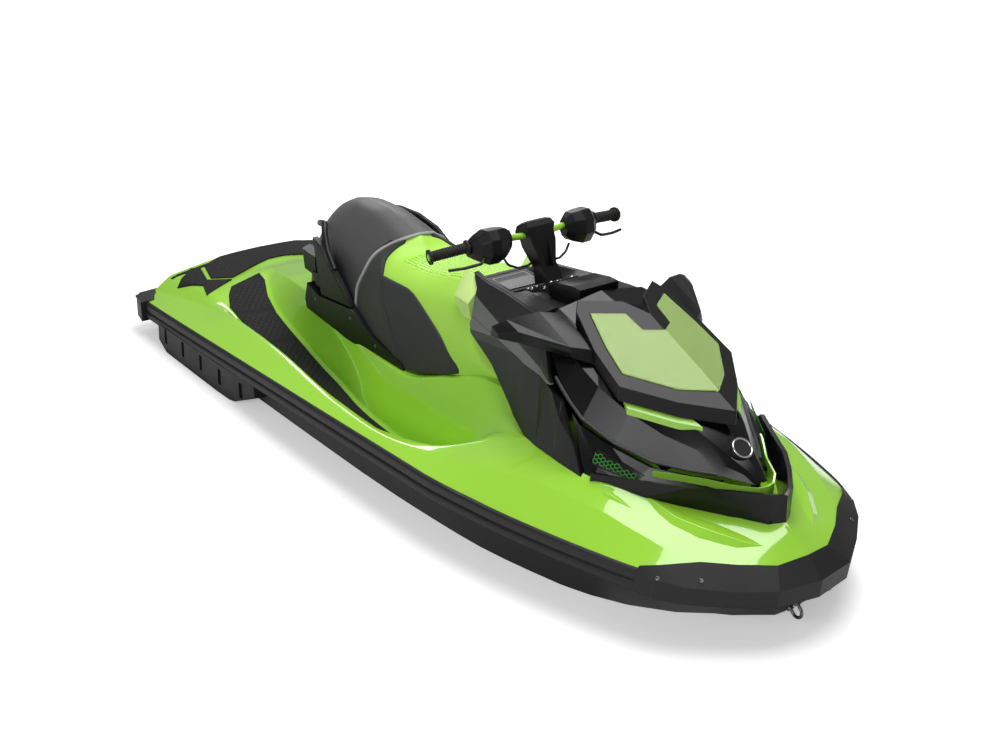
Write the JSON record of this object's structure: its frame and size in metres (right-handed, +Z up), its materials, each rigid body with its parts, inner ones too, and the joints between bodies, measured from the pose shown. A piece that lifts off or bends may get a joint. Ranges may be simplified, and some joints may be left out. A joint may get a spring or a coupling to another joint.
{
  "type": "personal watercraft",
  "caption": "Sit-down jet-driven watercraft with steerable nozzle, reverse gate, turning handlebar, lifting hood and glove box lid.",
  "frame": {"origin": "amidships on the centreline, at the waterline", "axes": "+X towards the bow, +Y to port, +Z up"},
  "size_m": [3.302, 1.226, 1.1569],
  "materials": {
    "hull_gelcoat": "gloss",
    "deck_gelcoat": "gloss",
    "rail_grey": "matte",
    "bumper_grey": "matte",
    "trim_black": "satin",
    "gloss_black": "gloss",
    "panel_grey": "satin",
    "panel_silver": "satin",
    "bracket_grey": "satin",
    "cast_alloy": "satin",
    "polished_steel": "polished",
    "engine_iron": "matte",
    "mat_foam": "matte",
    "seat_green": "satin",
    "seat_charcoal": "matte",
    "trim_green": "gloss",
    "bar_green": "gloss",
    "grip_rubber": "matte",
    "screen_tint": "gloss",
    "trim_silver": "gloss",
    "grille_green": "satin"
  },
  "bodies": {
    "craft": {"hull": "hull_gelcoat", "deck": "deck_gelcoat", "side_rails": "rail_grey", "bow_bumper": "bumper_grey", "stern_caps": "trim_black", "sponsons": "rail_grey", "ride_plate": "cast_alloy", "intake_grate": "cast_alloy", "pump_housing": "cast_alloy", "engine_block": "engine_iron", "tow_eyes": "polished_steel", "footwell_mats": "mat_foam", "rear_deck_mats": "mat_foam", "seat_saddle": "seat_green", "seat_bolster": "seat_charcoal", "knee_pads": "seat_charcoal", "seat_side_trims": "trim_black", "grab_handle": "trim_black", "console_core": "trim_black", "side_panels": "trim_black", "upper_panels": "panel_silver", "tank_covers": "trim_green", "glovebox_tub": "trim_black", "gauge_cluster": "gloss_black", "steering_base": "bracket_grey", "hood_hinge": "trim_black", "nose_fairings": "gloss_black", "grilles": "grille_green", "front_apron": "gloss_black", "nose_strips": "trim_green", "storage_bin": "trim_black"},
    "impeller": {"impeller": "polished_steel"},
    "nozzle": {"steering_nozzle": "cast_alloy"},
    "gate": {"reverse_gate": "cast_alloy"},
    "hood": {"hood_shell": "gloss_black", "windshield": "screen_tint", "windshield_frame": "panel_grey", "hood_boss": "trim_silver", "mirrors": "gloss_black", "hood_strips": "trim_green"},
    "glovebox_lid": {"glovebox_lid": "trim_black"},
    "handlebar": {"steering_column": "trim_black", "handlebar_tube": "bar_green", "bar_pad": "trim_black", "grips": "grip_rubber", "control_pods": "trim_black", "levers": "trim_black", "control_cables": "grip_rubber"}
  },
  "joints": [
    {"name": "steering", "type": "hinge", "parent": "craft", "child": "handlebar", "pos_m": [0.392, 0, 0.687], "axis": [-0.454, 0, 0.891], "range_deg": [-25, 25]},
    {"name": "nozzle_turn", "type": "hinge", "parent": "craft", "child": "nozzle", "pos_m": [-1.486, 0, -0.112], "axis": [0, 0, 1], "range_deg": [-20, 20]},
    {"name": "gate_drop", "type": "hinge", "parent": "craft", "child": "gate", "pos_m": [-1.486, 0, -0.112], "axis": [0, 1, 0], "range_deg": [-60, 0]},
    {"name": "impeller_spin", "type": "hinge", "parent": "craft", "child": "impeller", "pos_m": [-1.2, 0, -0.112], "axis": [1, 0, 0], "continuous": true},
    {"name": "hood_lift", "type": "hinge", "parent": "craft", "child": "hood", "pos_m": [1.368, 0, 0.38], "axis": [0, 1, 0], "range_deg": [0, 58]},
    {"name": "glovebox_open", "type": "hinge", "parent": "craft", "child": "glovebox_lid", "pos_m": [0.278, 0, 0.63904], "axis": [0, 1, 0], "range_deg": [0, 65]}
  ],
  "couplings": [
    {"joint": "nozzle_turn", "follows": "steering", "ratio": -0.8}
  ]
}
